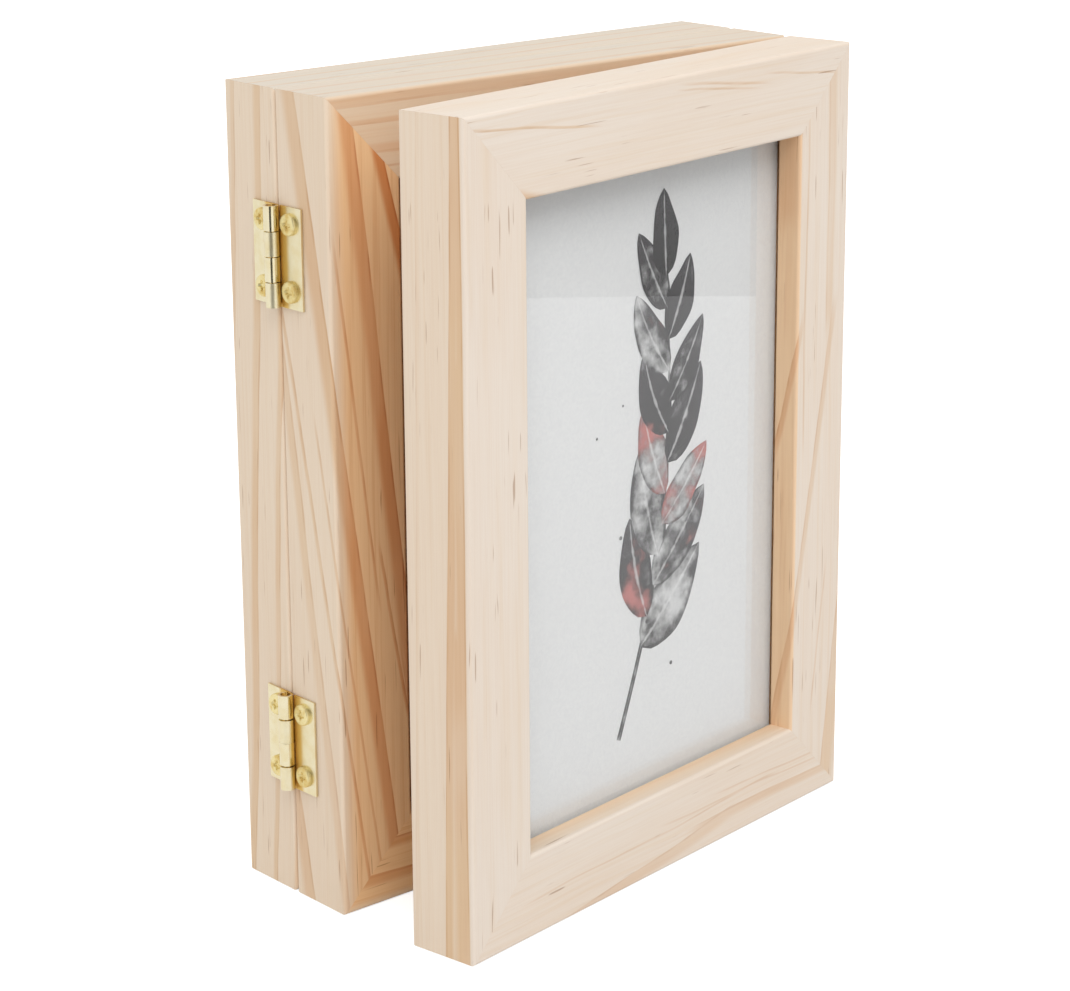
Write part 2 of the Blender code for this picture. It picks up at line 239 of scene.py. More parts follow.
# Every rail's wood. "angle" is the direction of the growth layers' normal in the rail's section, in degrees
# from the depth axis towards the width axis. A band of dark late wood has a sharp edge, and fades out at its
# other side, which lies before the edge, or after it where the width is negative.
# A band is (edge where x is 0, slope along the rail, width, strength), in mm along that normal, and then its
# first x and last x unless it runs the whole length. x runs down the left stiles, up the right ones,
# leftwards on the top rails and rightwards on the bottom rails. END stands for no end.
# "heart" is (where the tan heartwood starts, how wide the change is, strength), along the same normal.
END = 200
RAIL_WOOD = {
    "front_left": dict(
        angle=-12, tone="pale", waves=0.12, seed=1, heart=(30.0, 1.0, 0.5),
        bands=[
            (5.8, 0.023, 3.0, 0.7), (1.2, 0.0, -2.4, 0.7, -END, -35),
            (1.2, 0.0, -3.6, 0.7, -45, 25), (1.2, 0.0, -5.2, 0.7, 15, END),
            (14.6, 0.02, 1.2, 0.15),
        ],
    ),
    "front_right": dict(
        angle=45, tone="pale", waves=0.35, seed=2, heart=(13.2, 0.5, 0.65),
        bands=[
            (5.6, 0.0, 2.6, 0.32, 26, END), (7.9, -0.141, 1.7, 0.38, -75, 30),
            (-3.5, -0.095, 5.0, 0.5, -END, -34), (11.7, 0.0, 0.4, 0.25, -2, 76),
            (1.4, -0.095, 0.5, 0.3, -68, -36), (16.2, 0.0, 1.4, 0.12, 25, END),
            (17.9, -0.186, 1.4, 0.5, -4, 28), (19.5, 0.0, 7.0, 0.35, 52, END),
        ],
    ),
    "front_top": dict(
        angle=84, tone="cream", waves=0.5, seed=3, heart=(19.4, 1.0, 0.4),
        bands=[
            (10.9, -0.123, 0.7, 0.5, 28, 66), (1.6, -0.1, 0.8, 0.35, -34, -6), (2.8, -0.1, 0.6, 0.3, -30, -4),
            (-1.6, -0.123, 0.6, 0.4, -62, -38), (33.0, -0.25, 4.0, 0.8, 34, END),
        ],
    ),
    "front_bottom": dict(
        angle=72, tone="pale", waves=0.5, seed=4, heart=(19.0, 1.5, 0.4),
        bands=[
            (4.3, 0.11, 3.6, 0.4, -42, 24), (6.9, -0.01, 2.6, 0.4, 10, END), (9.0, 0.02, 0.5, 0.3, -50, 40),
            (12.2, -0.03, 0.5, 0.25, 20, 60), (10.6, -0.03, 0.5, 0.25, 0, 60),
            (-1.0, 0.05, 2.0, 0.35, -END, -30),
        ],
    ),
    "middle_left": dict(
        angle=53.8, tone="sand", waves=0.2, seed=5, heart=(10.4, 4.0, 0.9),
        bands=[
            (-6.0, -0.11, 3.0, 0.55), (3.6, -0.09, 2.0, 0.45), (6.0, -0.125, 0.8, 0.5),
            (14.6, -0.1135, 3.4, 0.7), (24.4, -0.095, 3.6, 0.8), (38.2, -0.2, 2.8, 1.0, 40, END),
            (19.4, -0.14, 0.8, 0.7, -50, -10), (18.0, -0.1, 0.7, 0.5, -20, 60),
            (9.3, -0.12, 0.6, 0.4, -END, 20), (21.4, -0.105, 0.5, 0.5, -END, -30),
        ],
    ),
    "middle_right": dict(
        angle=40, tone="sand", waves=0.6, seed=6, heart=(12.0, 3.0, 0.8),
        bands=[(edge, 0.04, 2.2, 0.7) for edge in (1.5, 8.2, 14.0, 21.5, 27.0)],
    ),
    "middle_top": dict(
        angle=46, tone="ivory", waves=0.3, seed=7, heart=(11.5, 1.5, 0.4),
        bands=[
            (4.6, 0.01, 1.2, 0.25), (10.2, 0.01, 1.4, 0.3), (14.7, 0.004, 2.2, 0.3),
            (17.6, 0.004, 1.0, 0.35), (22.0, 0.0, 1.8, 0.4), (24.3, 0.0, 0.4, 0.4),
        ],
    ),
    "middle_bottom": dict(
        angle=50, tone="sand", waves=0.4, seed=8, heart=(11.0, 2.5, 1.0),
        bands=[(edge, 0.01, 2.4, 0.6) for edge in (3.0, 9.5, 16.2, 22.4)],
    ),
    "rear_left": dict(
        angle=155, tone="sand", waves=0.5, seed=9, heart=(12.0, 3.0, 0.6),
        bands=[
            (-1.6, -0.05, 2.0, 0.5), (-9.0, -0.053, 2.8, 0.6), (6.0, -0.05, 2.4, 0.6),
            (-16.6, -0.04, 1.8, 0.4), (14.0, -0.05, 2.4, 0.6),
        ],
    ),
    "rear_right": dict(
        angle=35, tone="sand", waves=0.7, seed=10, heart=(14.0, 3.0, 0.6),
        bands=[(edge, -0.05, 2.4, 0.6) for edge in (2.0, 9.0, 17.0, 23.0)],
    ),
    "rear_top": dict(
        angle=150, tone="ivory", waves=0.4, seed=11, heart=(8.0, 3.0, 0.5),
        bands=[(edge, 0.012, 1.2, 0.35) for edge in (-15.0, -9.0, -3.5, 5.0)],
    ),
    "rear_bottom": dict(
        angle=140, tone="sand", waves=0.6, seed=12, heart=(8.0, 3.0, 0.6),
        bands=[(edge, 0.03, 2.4, 0.6) for edge in (-10.0, -3.0, 5.0, 11.0)],
    ),
}
# The colour of the picture face, and of the wood behind it. Where the face is paler, that is painted light:
# it stands in for the brighter light and sheen on the picture face.
WOOD_TONES = {
    "pale": (colour(240, 227, 213), colour(241, 223, 202)),
    "cream": (colour(240, 227, 213), colour(237, 224, 209)),
    "sand": (colour(242, 223, 200), colour(242, 223, 200)),
    "ivory": (colour(222, 212, 197), colour(222, 212, 197)),
}
SAPWOOD = {
    "shade": colour(235, 210, 184),
    "streak": colour(230, 202, 166),
    "late": colour(224, 186, 140),
    "darker_late": colour(220, 176, 130),
    "rim": colour(194, 144, 98),
    "dash": colour(164, 120, 86),
}
HEARTWOOD = {
    "early": colour(250, 205, 153),
    "streak": colour(222, 158, 100),
    "late": colour(216, 138, 80),
    "rim": colour(190, 106, 56),
    "dash": colour(166, 92, 46),
}
FIBRE_SHADE = colour(220, 190, 158)
# Each noise in the wood: its scale along the rail and across it, per mm, its detail and its roughness
WOOD_NOISES = {
    "wave": (0.013, 0.03, 2.0, 0.5),
    "ripple": (0.05, 0.2, 2.0, 0.5),
    "late": (0.03, 0.1, 1.0, 0.5),
    "rim": (0.06, 0.9, 2.0, 0.5),
    "tone": (0.012, 0.06, 3.0, 0.5),
    "fibre": (0.04, 2.4, 3.0, 0.6),
    "dash": (0.085, 1.9, 0.0, 0.5),
    "sparse": (0.03, 0.16, 0.0, 0.5),
}
# While a noise rises between two values, its effect goes from one strength to another
WOOD_EFFECTS = {
    "late": ("late", 0.3, 0.6, 0.72, 1.0),
    "rim": ("rim", 0.4, 0.65, 0.1, 0.7),
    "shade": ("tone", 0.35, 0.65, 0.0, 0.22),
    "darker_late": ("tone", 0.35, 0.65, 0.0, 1.0),
    "fibre": ("fibre", 0.35, 0.75, 0.0, 0.1),
    "dash": ("dash", 0.74, 0.8, 0.0, 1.0),
    "sparse": ("sparse", 0.5, 0.62, 0.0, 0.55),
}
SEED_STEPS = (41, 17, 29)
# Heights of the growth layers' bends, and sizes of the bands' edges, in mm
WAVE_HEIGHT = 7
RIPPLE_HEIGHT = 1.6
BAND_END_FADE = 5
EDGE_SOFTNESS = 0.14
RIM_SOFTNESS = 0.1
RIM_WIDTH = 0.5
FADE_SHARE = 0.5
STREAK_STRETCH_SHARE = 0.012
STREAK_SCALE = 1.1
STREAK_LIMITS = (0.45, 0.75)
STREAKY_SHARE = 0.25
# Depths in mm over which the picture face's painted light fades into the wood behind it
LIT_FACE_DEPTHS = (0.4, 1.4)
WOOD_ROUGHNESSES = (0.62, 0.5)
WOOD_RELIEF = 0.03 * MM


def late_wood(nodes, layer, run, bands):
    """How much late wood there is at a place, and how close a band's sharp edge is. Places are in mm."""
    late = None
    rim = None
    for edge, slope, width, strength, *ends in bands:
        first, last = ends or (-END, END)
        along = nodes.math("MULTIPLY_ADD", run, -slope, layer) if slope else layer
        side = math.copysign(1, width)
        inside = nodes.ramp(along, edge, edge + side * EDGE_SOFTNESS, strength, 0.0)
        if first > -END:
            begun = nodes.ramp(run, first - BAND_END_FADE, first + BAND_END_FADE)
            inside = nodes.math("MULTIPLY", inside, begun)
        if last < END:
            going = nodes.ramp(run, last - BAND_END_FADE, last + BAND_END_FADE, 1.0, 0.0)
            inside = nodes.math("MULTIPLY", inside, going)
        risen = nodes.ramp(along, edge - width, edge - (1 - FADE_SHARE) * width)
        close = nodes.ramp(along, edge - side * RIM_WIDTH, edge - side * RIM_SOFTNESS)
        band = nodes.math("MULTIPLY", inside, risen)
        line = nodes.math("MULTIPLY", inside, close)
        late = band if late is None else nodes.math("MAXIMUM", late, band)
        rim = line if rim is None else nodes.math("MAXIMUM", rim, line)
    return late, rim


def pine_material(name, wood):
    """Sanded pine, with the growth layers of one rail."""
    material, nodes, shader = new_material(f"pine_{name}")
    place = nodes.vector("SCALE", nodes.attribute("grain"))
    place.node.inputs["Scale"].default_value = 1 / MM
    spot = nodes.vector("ADD", place, tuple(step * wood["seed"] for step in SEED_STEPS))
    axes = nodes.add("ShaderNodeSeparateXYZ", {0: place}).node
    run, depth, width = axes.outputs[0], axes.outputs[1], axes.outputs[2]
    texture = {}
    for key, (along, across, detail, roughness) in WOOD_NOISES.items():
        stretched = nodes.vector("MULTIPLY", spot, (along, across, across))
        texture[key] = nodes.noise(stretched, 1.0, detail, roughness)
    effect = {key: nodes.ramp(texture[source], *limits) for key, (source, *limits) in WOOD_EFFECTS.items()}
    angle = math.radians(wood["angle"])
    layer = nodes.math("MULTIPLY_ADD", width, math.sin(angle), nodes.math("MULTIPLY", depth, math.cos(angle)))
    bent = nodes.sway(layer, texture["wave"], WAVE_HEIGHT * wood["waves"])
    bent = nodes.sway(bent, texture["ripple"], RIPPLE_HEIGHT * wood["waves"])
    late, rim = late_wood(nodes, bent, run, wood["bands"])
    late = nodes.math("MULTIPLY", late, effect["late"])
    rim = nodes.math("MULTIPLY", rim, effect["rim"])
    start, change, strength = wood["heart"]
    heart = nodes.ramp(layer, start, start + change, 0.0, strength)

    streak_run = nodes.math("MULTIPLY", run, STREAK_STRETCH_SHARE)
    streak_place = nodes.add("ShaderNodeCombineXYZ", {0: streak_run, 1: bent, 2: wood["seed"]})
    streaks = nodes.noise(streak_place, STREAK_SCALE, 3.0, 0.6)
    face, body = WOOD_TONES[wood["tone"]]
    # Painted light: the picture face gets a paler colour than the wood behind it
    early = nodes.mix(nodes.ramp(depth, *LIT_FACE_DEPTHS), face, body)
    early = nodes.mix(effect["shade"], early, SAPWOOD["shade"])
    early = nodes.mix(heart, early, HEARTWOOD["early"])
    streak = nodes.mix(heart, SAPWOOD["streak"], HEARTWOOD["streak"])
    streaky = nodes.math("MULTIPLY_ADD", heart, STREAKY_SHARE, STREAKY_SHARE)
    streaky = nodes.math("MULTIPLY", streaky, nodes.ramp(streaks, *STREAK_LIMITS))
    early = nodes.mix(streaky, early, streak)
    tan = nodes.mix(effect["darker_late"], SAPWOOD["late"], SAPWOOD["darker_late"])
    tan = nodes.mix(heart, tan, HEARTWOOD["late"])
    pine = nodes.mix(late, early, tan)
    pine = nodes.mix(rim, pine, nodes.mix(heart, SAPWOOD["rim"], HEARTWOOD["rim"]))
    pine = nodes.mix(effect["fibre"], pine, FIBRE_SHADE, "MULTIPLY")
    dashes = nodes.math("MULTIPLY", effect["dash"], effect["sparse"])
    pine = nodes.mix(dashes, pine, nodes.mix(heart, SAPWOOD["dash"], HEARTWOOD["dash"]))
    nodes.feed(shader, "Base Color", pine)
    nodes.feed(shader, "Roughness", nodes.ramp(late, 0.0, 1.0, *WOOD_ROUGHNESSES))
    relief = nodes.math("SUBTRACT", nodes.math("MULTIPLY_ADD", late, 0.5, texture["fibre"]), dashes)
    nodes.feed(shader, "Normal", nodes.bump(relief, WOOD_RELIEF, 0.6))
    shader.inputs["Specular IOR Level"].default_value = 0.35
    return material


GLASS_COLOUR = (0.982, 0.985, 0.985, 1.0)
GLASS_IOR = 1.52
SMEAR_SCALES = (60, 60, 25)
SMEAR_ROUGHNESS = 0.02
PAPER_COLOURS = (colour(237, 237, 237), colour(243, 243, 242))
TOOTH_SCALE = 1400.0
TOOTH_HEIGHT = 0.02 * MM
BLEED_SCALE = 420.0
CLOUD_SCALE = 130.0
INKS = (colour(38, 35, 36), colour(64, 60, 64))
BLUSH = colour(200, 120, 114)
BOARD_COLOURS = (colour(176, 128, 84), colour(210, 166, 118))
BOARD_CLOUD = colour(164, 118, 78)
BOARD_FIBRE_SCALE = 900.0
BOARD_CLOUD_SCALE = 60.0
BOARD_ROUGHNESSES = (0.6, 0.45)
BOARD_RELIEF = 0.05 * MM


def glass_material():
    """Clear picture glass that lets the lamps through, with the faintest smears."""
    material, nodes, shader = new_material("picture_glass")
    shader.inputs["Base Color"].default_value = GLASS_COLOUR
    shader.inputs["Transmission Weight"].default_value = 1.0
    shader.inputs["IOR"].default_value = GLASS_IOR
    spot = nodes.add("ShaderNodeTexCoord", {}, "Object")
    smears = nodes.noise(nodes.vector("MULTIPLY", spot, SMEAR_SCALES), 1.0, 4.0, 0.6)
    nodes.feed(shader, "Roughness", nodes.ramp(smears, 0.4, 0.8, 0.0, SMEAR_ROUGHNESS))
    shadow_ray = nodes.add("ShaderNodeLightPath", {}, "Is Shadow Ray")
    clear = nodes.add("ShaderNodeBsdfTransparent", {"Color": GLASS_COLOUR})
    mixed = nodes.add("ShaderNodeMixShader", {0: shadow_ray, 1: shader.outputs[0], 2: clear})
    output = material.node_tree.nodes["Material Output"]
    nodes.feed(output, "Surface", mixed)
    return material


def paper_colour(nodes):
    """White art paper with a fine tooth."""
    spot = nodes.add("ShaderNodeTexCoord", {}, "Object")
    tooth = nodes.noise(spot, TOOTH_SCALE, 3.0)
    return spot, tooth, nodes.mix(nodes.ramp(tooth, 0.3, 0.7), *PAPER_COLOURS)


def paper_material():
    """The bare paper of a print."""
    material, nodes, shader = new_material("art_paper")
    _, tooth, paper = paper_colour(nodes)
    nodes.feed(shader, "Base Color", paper)
    nodes.feed(shader, "Normal", nodes.bump(tooth, TOOTH_HEIGHT, 0.5))
    shader.inputs["Roughness"].default_value = 0.8
    shader.inputs["Specular IOR Level"].default_value = 0.2
    return material


def paint_material():
    """Watercolour: charcoal pigment that pools at a stroke's edges, with a blush bleeding in."""
    material, nodes, shader = new_material("watercolour")
    spot, tooth, paper = paper_colour(nodes)
    stroke = nodes.add("ShaderNodeSeparateXYZ", {0: nodes.attribute("stroke")}).node
    along, across, wash = stroke.outputs[0], stroke.outputs[1], stroke.outputs[2]
    bleed = nodes.noise(spot, BLEED_SCALE, 5.0, 0.65)
    cloud = nodes.noise(spot, CLOUD_SCALE, 3.0, 0.5)
    side = nodes.math("ABSOLUTE", across)
    pooled = nodes.math("MULTIPLY", nodes.ramp(side, 0.7, 0.95), 0.3)
    body = nodes.sway(nodes.sway(wash, cloud, 2.4), bleed, 0.8)
    body = nodes.math("ADD", body, pooled)
    vein = nodes.ramp(nodes.sway(side, bleed, 0.3), 0.0, 0.12, 0.45, 1.0)
    density = nodes.math("MULTIPLY", nodes.ramp(body, 0.05, 0.95, 0.16, 0.98), vein)
    blush = nodes.sway(nodes.attribute("blush", "Fac"), cloud, 1.8)
    ink = nodes.mix(nodes.ramp(along, 0.0, 1.0), *INKS)
    pigment = nodes.mix(nodes.ramp(blush, 0.3, 0.75), ink, BLUSH)
    nodes.feed(shader, "Base Color", nodes.mix(density, paper, pigment))
    nodes.feed(shader, "Normal", nodes.bump(tooth, TOOTH_HEIGHT, 0.5))
    shader.inputs["Roughness"].default_value = 0.75
    shader.inputs["Specular IOR Level"].default_value = 0.2
    return material


def hardboard_material():
    """Brown hardboard: a smooth face with pressed fibres."""
    material, nodes, shader = new_material("brown_hardboard")
    spot = nodes.add("ShaderNodeTexCoord", {}, "Object")
    fibres = nodes.noise(spot, BOARD_FIBRE_SCALE, 4.0, 0.7)
    clouds = nodes.noise(spot, BOARD_CLOUD_SCALE, 3.0, 0.6)
    board = nodes.mix(nodes.ramp(fibres, 0.3, 0.72), *BOARD_COLOURS)
    board = nodes.mix(nodes.ramp(clouds, 0.35, 0.65, 0.0, 0.35), board, BOARD_CLOUD)
    nodes.feed(shader, "Base Color", board)
    nodes.feed(shader, "Roughness", nodes.ramp(fibres, 0.3, 0.7, *BOARD_ROUGHNESSES))
    nodes.feed(shader, "Normal", nodes.bump(fibres, BOARD_RELIEF, 0.6))
    return material


# Painted shade: the golden colour laid on the leaves in the crease beside the barrel
CREASE_SHADE_COLOUR = colour(224, 184, 92)
LEAF_BRASS = (colour(240, 230, 196), colour(234, 219, 174))
PIN_BRASS = (colour(228, 200, 140), colour(214, 178, 104))
SCREW_BRASS = (colour(242, 228, 174), colour(234, 208, 134))
STAIN_SCALE = 320.0
DRAWING_SCALES = (4000, 4000, 260)
DENT_SCALE = 260.0
DENT_WEIGHT = 6.0
BRASS_RELIEF = 0.01 * MM


def crease_shade_share(nodes):
    """How deep a place of a hinge leaf lies in the crease beside the barrel, where golden painted shade is
    laid on.
    """
    axes = nodes.add("ShaderNodeSeparateXYZ", {0: nodes.attribute("hinge")}).node
    inward = nodes.ramp(axes.outputs[0], CREASE_FLOOR, OUTER_FACE)
    away = nodes.math("ABSOLUTE", axes.outputs[1])
    near = nodes.ramp(away, CREASE_REACH, CREASE_START, 0.0, CREASE_SHARE)
    return nodes.math("MULTIPLY", inward, near)


def brass_material(name, fresh, stained, roughness, creased=False):
    """Polished brass with a slight tarnish. A creased one is dull beside the barrel, and golden there with
    painted shade that stands in for the crease's shadow.
    """
    material, nodes, shader = new_material(name)
    spot = nodes.add("ShaderNodeTexCoord", {}, "Object")
    stain = nodes.noise(spot, STAIN_SCALE, 4.0, 0.6)
    lines = nodes.noise(nodes.vector("MULTIPLY", spot, DRAWING_SCALES), 1.0, 2.0)
    dents = nodes.noise(spot, DENT_SCALE, 1.0)
    metal = nodes.mix(nodes.ramp(stain, 0.35, 0.75), fresh, stained)
    if creased:
        crease = crease_shade_share(nodes)
        # Painted shade: the crease beside the barrel is tinted golden
        metal = nodes.mix(crease, metal, CREASE_SHADE_COLOUR)
        dullness = nodes.ramp(crease, 0.0, 1.0, 1.5 * roughness, CREASE_ROUGHNESS)
    else:
        dullness = nodes.ramp(stain, 0.35, 0.7, roughness, 2 * roughness)
    nodes.feed(shader, "Base Color", metal)
    nodes.feed(shader, "Roughness", dullness)
    height = nodes.math("MULTIPLY_ADD", dents, DENT_WEIGHT, lines)
    nodes.feed(shader, "Normal", nodes.bump(height, BRASS_RELIEF, 0.35))
    shader.inputs["Metallic"].default_value = 1.0
    return material


MATERIALS = {
    **{name: pine_material(name, wood) for name, wood in RAIL_WOOD.items()},
    "glass": glass_material(),
    "paper": paper_material(),
    "paint": paint_material(),
    "hardboard": hardboard_material(),
    "outer_leaf": brass_material("outer_leaf_brass", *LEAF_BRASS, 0.1, creased=True),
    "middle_leaf": brass_material("middle_leaf_brass", *LEAF_BRASS, 0.2, creased=True),
    "pin": brass_material("pin_brass", *PIN_BRASS, 0.12),
    "screw": brass_material("screw_brass", *SCREW_BRASS, 0.38),
}


def object_from(name, shape, material, place=None, smooth=True):
    """Makes an object of a bmesh, moved to its place."""
    bmesh.ops.recalc_face_normals(shape, faces=shape.faces[:])
    mesh = bpy.data.meshes.new(name)
    shape.to_mesh(mesh)
    shape.free()
    if smooth:
        mesh.shade_smooth()
        mesh.set_sharp_from_angle(angle=SMOOTH_ANGLE)
    mesh.materials.append(MATERIALS[material])
    if place is not None:
        mesh.transform(place)
    piece = bpy.data.objects.new(name, mesh)
    bpy.context.scene.collection.objects.link(piece)
    return piece


def apply_modifiers(piece):
    """Replaces a piece's mesh by what its modifiers make of it."""
    graph = bpy.context.evaluated_depsgraph_get()
    piece.data = bpy.data.meshes.new_from_object(piece.evaluated_get(graph))
    piece.modifiers.clear()


def weigh_normals(piece):
    """Keeps flat faces flat beside small rounded edges."""
    weigh = piece.modifiers.new("weighted_normals", "WEIGHTED_NORMAL")
    weigh.keep_sharp = True
    apply_modifiers(piece)


def polish(piece):
    """Shades a cut piece smooth between its sharp edges."""
    piece.data.shade_smooth()
    piece.data.set_sharp_from_angle(angle=SMOOTH_ANGLE)
    weigh_normals(piece)


def subtract(piece, cutter):
    """Cuts one piece out of another, once its modifiers are applied."""
    cut = piece.modifiers.new("cut", "BOOLEAN")
    cut.operation = "DIFFERENCE"
    cut.solver = "EXACT"
    cut.object = cutter


def set_vectors(mesh, name, values):
    """Writes one vector per vertex as a mesh attribute."""
    attribute = mesh.attributes.new(name, "FLOAT_VECTOR", "POINT")
    attribute.data.foreach_set("vector", [number for value in values for number in value])


def extrude(shape, faces, shift):
    """Draws faces out by a shift."""
    raised = bmesh.ops.extrude_face_region(shape, geom=faces)
    moved = [item for item in raised["geom"] if isinstance(item, bmesh.types.BMVert)]
    bmesh.ops.translate(shape, vec=shift, verts=moved)


def close_between(shape, first, second):
    """Joins two equal rings of vertices by faces, and caps both."""
    count = len(first)
    for index in range(count):
        following = (index + 1) % count
        shape.faces.new((first[index], first[following], second[following], second[index]))
    shape.faces.new(first)
    shape.faces.new(reversed(second))


def arc(centre, radius, start, end, steps):
    """Points on an arc, ends included, with angles in radians."""
    angles = [start + (end - start) * step / steps for step in range(steps + 1)]
    return [(centre[0] + radius * math.cos(angle), centre[1] + radius * math.sin(angle)) for angle in angles]


def moulding_profile():
    """The moulding's outline as (depth behind the picture face, distance from the outer edge)."""
    near = ARRIS_RADIUS
    far = FRAME_THICKNESS - ARRIS_RADIUS
    inner = MOULDING_WIDTH - ARRIS_RADIUS
    notch = MOULDING_WIDTH - GROOVE_DEPTH
    return [
        *arc((near, near), ARRIS_RADIUS, -HALF_TURN, -QUARTER_TURN, ARRIS_STEPS),
        *arc((far, near), ARRIS_RADIUS, -QUARTER_TURN, 0, ARRIS_STEPS),
        *arc((far, inner), ARRIS_RADIUS, 0, QUARTER_TURN, ARRIS_STEPS),
        (GROOVE_BACK, MOULDING_WIDTH),
        (GROOVE_BACK, notch),
        (GROOVE_FRONT, notch),
        (GROOVE_FRONT, MOULDING_WIDTH),
        *arc((near, inner), ARRIS_RADIUS, QUARTER_TURN, HALF_TURN, ARRIS_STEPS),
    ]


def build_rail(label, side):
    """One mitred rail with rounded arrises and the groove, dressed with its grain."""
    length = FRAME_HEIGHT if side in ("left", "right") else FRAME_WIDTH
    profile = moulding_profile()
    setback = MITRE_GAP / math.sqrt(2)
    shape = bmesh.new()
    grain = []
    ends = []
    for sign in (-1, 1):
        ends.append([])
        for depth, inset in profile:
            along = sign * (length / 2 - setback - inset)
            ends[-1].append(shape.verts.new((along, depth - FRAME_THICKNESS / 2, inset)))
            grain.append((along, depth, inset))
    close_between(shape, *ends)
    own_side = {"left": "right", "right": "left"}.get(side, side) if label == "middle" else side
    places = {
        "bottom": ((0, 0, 0), 0),
        "top": ((0, 0, FRAME_HEIGHT), HALF_TURN),
        "left": ((-FRAME_WIDTH / 2, 0, FRAME_HEIGHT / 2), QUARTER_TURN),
        "right": ((FRAME_WIDTH / 2, 0, FRAME_HEIGHT / 2), -QUARTER_TURN),
    }
    corner, angle = places[own_side]
    place = FRAME_SPACE[label] @ Matrix.Translation(corner) @ Matrix.Rotation(angle, 4, "Y")
    name = rail_name(label, side)
    rail = object_from(f"{name}_wood", shape, f"{label}_{side}", place)
    set_vectors(rail.data, "grain", grain)
    weigh_normals(rail)
    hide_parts(name)
    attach(rail, f"{label}_frame")


# Prints: a sprig of painted leaves on each sheet. Lengths are in mm, and angles in degrees.
PAINT_LIFT = 0.04 * MM
PAINT_THICKNESS = 0.02 * MM
PAINT_STEP = 0.003 * MM
LEAF_ROWS = 14
LEAF_COLUMNS = 6
LEAF_TIP_HALF_WIDTH = 0.12
STEM_HALF_WIDTHS = (0.75, 0.35)
STEM_PAINT = (0.75, 0.1, 0.3)
STEM_RAGGED_SHARE = 0.25
LEAF_RAGGED_SHARE = 0.22
SPLASH_RAGGED_SHARE = 0.2
SPLASHES = 6
SPLASH_SIZES = (0.25, 0.6)
WASHES = (0.5, 0.75, 0.95, 1.1)
BLUSHES = (-0.4, -0.2, 0.05, 0.4)
PHASES = (0, 50)
RAGGED_SCALES = (3.1, 1.7)
RISE_STEP_SHARE = 0.05
SPREAD_SWING = 7
LENGTH_SWING = 2
BEND_SHARE = -0.5
BEND_SWING = 0.15
BREADTH_SHARES = (0.9, 1.1)
BELLY_POWER = 0.8
FULLNESS_POWER = 0.75
SPLASH_REACH = ((-24, 24), (-50, 55))
SPLASH_WASH = 0.9
SPRIGS = {
    "front": dict(
        foot=(-9, -60), tip=(8, 46), bow=8, leaves=13, first_share=0.2,
        long=30, short=19, breadth_share=0.44, spread=36, seed=8,
    ),
    "middle": dict(
        foot=(4, -58), tip=(-6, 50), bow=-7, leaves=16, first_share=0.14,
        long=20, short=13, breadth_share=0.62, spread=58, seed=21,
    ),
    "rear": dict(
        foot=(0, -62), tip=(3, 52), bow=4, leaves=21, first_share=0.12,
        long=27, short=15, breadth_share=0.2, spread=42, seed=5,
    ),
}


def paint_stroke(shape, layers, spine, half_widths, paint, ragged, place):
    """One brush stroke: a thin slab along a spine, with ragged edges."""
    stroke_layer, blush_layer = layers
    wash, blush, phase = paint
    along_scale, across_scale = RAGGED_SCALES
    count = len(spine)
    rows = []
    for index, point in enumerate(spine):
        ahead = spine[min(index + 1, count - 1)] - spine[max(index - 1, 0)]
        across = Vector((-ahead.y, ahead.x)).normalized()
        row = []
        for column in range(LEAF_COLUMNS + 1):
            share = 2 * column / LEAF_COLUMNS - 1
            place_in_noise = (along_scale * index / LEAF_ROWS + phase, across_scale * share, phase)
            wobble = 1 + ragged * noise.noise(place_in_noise)
            spot = point + across * share * half_widths[index] * wobble
            vertex = shape.verts.new(place(spot.x * MM, spot.y * MM))
            vertex[stroke_layer] = (index / (count - 1), share, wash)
            vertex[blush_layer] = blush
            row.append(vertex)
        rows.append(row)
    faces = []
    for lower, upper in zip(rows, rows[1:]):
        for column in range(LEAF_COLUMNS):
            corners = (lower[column], lower[column + 1], upper[column + 1], upper[column])
            faces.append(shape.faces.new(corners))
    extrude(shape, faces, (0, -PAINT_THICKNESS, 0))


def stem_point(sprig, share):
    """A point on a sprig's stem, in mm from the middle of the sheet, at a share of its length."""
    foot = Vector(sprig["foot"])
    tip = Vector(sprig["tip"])
    sideways = Vector((tip.y - foot.y, foot.x - tip.x)).normalized()
    return foot.lerp(tip, share) + sideways * sprig["bow"] * math.sin(HALF_TURN * share)


def leaf_spine(base, heading, length, bend):
    """A bending line from a base point, with its heading and bend as angles in radians."""
    points = [Vector(base)]
    for row in range(LEAF_ROWS):
        angle = heading + bend * (row + 0.5) / LEAF_ROWS
        points.append(points[-1] + Vector((math.cos(angle), math.sin(angle))) * length / LEAF_ROWS)
    return points


def leaf_half_width(share, length, breadth):
    """Half the width of a leaf at a share of its length."""
    body = math.sin(HALF_TURN * share**BELLY_POWER) ** FULLNESS_POWER if 0 < share < 1 else 0.0
    return length * breadth * body / 2 + LEAF_TIP_HALF_WIDTH


